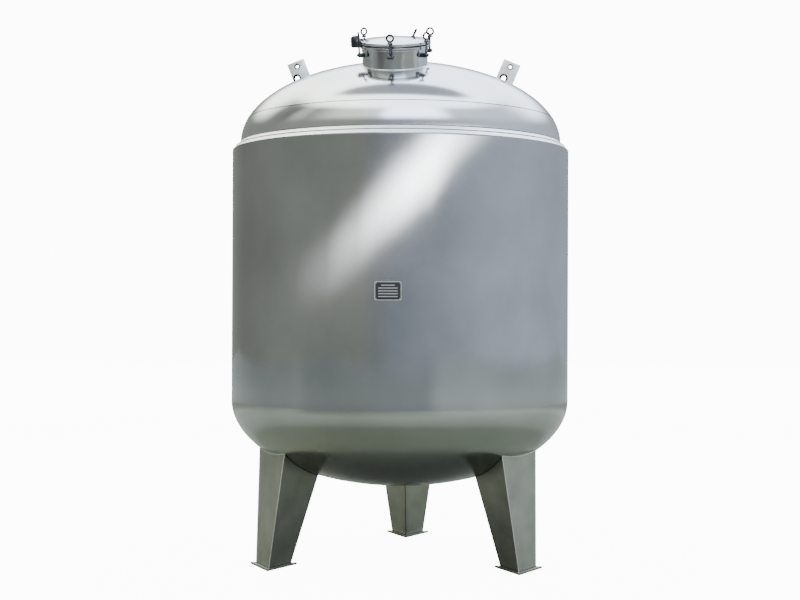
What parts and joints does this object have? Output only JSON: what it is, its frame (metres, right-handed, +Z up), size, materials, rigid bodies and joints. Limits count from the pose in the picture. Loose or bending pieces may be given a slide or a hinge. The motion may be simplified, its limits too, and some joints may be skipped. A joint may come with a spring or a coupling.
{
  "type": "vertical storage tank",
  "caption": "Upright jacketed stainless steel tank with dished ends, folded tapering legs, a tilted manway with swing bolts, and lifting lugs.",
  "frame": {"origin": "on the floor, on the tank's upright axis, under the middle of the legs", "axes": "+Z up, -Y to the front where the manway and nameplate are, +X to the right as one faces the front"},
  "size_m": [2.1, 2.1023, 3.2306],
  "materials": {
    "polished_steel": "polished",
    "jacket_steel": "satin",
    "leg_steel": "satin",
    "fittings_steel": "satin",
    "gasket": "matt",
    "nameplate": "dark etched"
  },
  "bodies": {
    "tank": {"jacket_shell_front": "jacket_steel", "jacket_shell_back": "jacket_steel", "jacket_top_cone": "jacket_steel", "jacket_bottom_head": "jacket_steel", "vessel_shell_front": "polished_steel", "vessel_shell_back": "polished_steel", "vessel_bottom_head": "polished_steel", "vessel_top_band": "polished_steel", "vessel_top_crown": "polished_steel", "leg_front_left": "leg_steel", "leg_front_right": "leg_steel", "leg_back": "leg_steel", "foot_plate_front_left": "leg_steel", "foot_plate_front_right": "leg_steel", "foot_plate_back": "leg_steel", "manway_neck": "polished_steel", "manway_rim": "polished_steel", "manway_gasket": "gasket", "hinge_bracket": "fittings_steel", "hinge_pin": "fittings_steel", "lifting_lug_left": "fittings_steel", "lifting_lug_right": "fittings_steel", "nameplate": "nameplate", "bolt_bracket_1": "fittings_steel", "bolt_bracket_2": "fittings_steel", "bolt_bracket_3": "fittings_steel", "bolt_bracket_4": "fittings_steel", "bolt_bracket_5": "fittings_steel"},
    "lid": {"manway_lid": "polished_steel", "lid_handle": "fittings_steel", "hinge_strap": "fittings_steel"},
    "bolt_1": {"swing_bolt_1": "fittings_steel", "eye_nut_1": "fittings_steel"},
    "bolt_2": {"swing_bolt_2": "fittings_steel", "eye_nut_2": "fittings_steel"},
    "bolt_3": {"swing_bolt_3": "fittings_steel", "eye_nut_3": "fittings_steel"},
    "bolt_4": {"swing_bolt_4": "fittings_steel", "eye_nut_4": "fittings_steel"},
    "bolt_5": {"swing_bolt_5": "fittings_steel", "eye_nut_5": "fittings_steel"}
  },
  "joints": [
    {"name": "lid_hinge", "type": "hinge", "parent": "tank", "child": "lid", "pos_m": [-0.24466, -0.57239, 3.14877], "axis": [-0.0523, -0.9509, -0.305], "range_deg": [0, 100]},
    {"name": "bolt_1_swing", "type": "hinge", "parent": "tank", "child": "bolt_1", "pos_m": [-0.01183, -0.77323, 2.99403], "axis": [0.9986, -0.0498, -0.016], "range_deg": [-8, 98]},
    {"name": "bolt_2_swing", "type": "hinge", "parent": "tank", "child": "bolt_2", "pos_m": [0.18954, -0.67553, 3.02537], "axis": [0.5446, 0.7986, 0.2562], "range_deg": [-8, 98]},
    {"name": "bolt_3_swing", "type": "hinge", "parent": "tank", "child": "bolt_3", "pos_m": [0.20137, -0.46063, 3.09431], "axis": [-0.454, 0.8484, 0.2722], "range_deg": [-8, 98]},
    {"name": "bolt_4_swing", "type": "hinge", "parent": "tank", "child": "bolt_4", "pos_m": [-0.18954, -0.44112, 3.10056], "axis": [-0.5446, -0.7986, -0.2562], "range_deg": [-8, 98]},
    {"name": "bolt_5_swing", "type": "hinge", "parent": "tank", "child": "bolt_5", "pos_m": [-0.20137, -0.65603, 3.03162], "axis": [0.454, -0.8484, -0.2722], "range_deg": [-8, 98]}
  ]
}
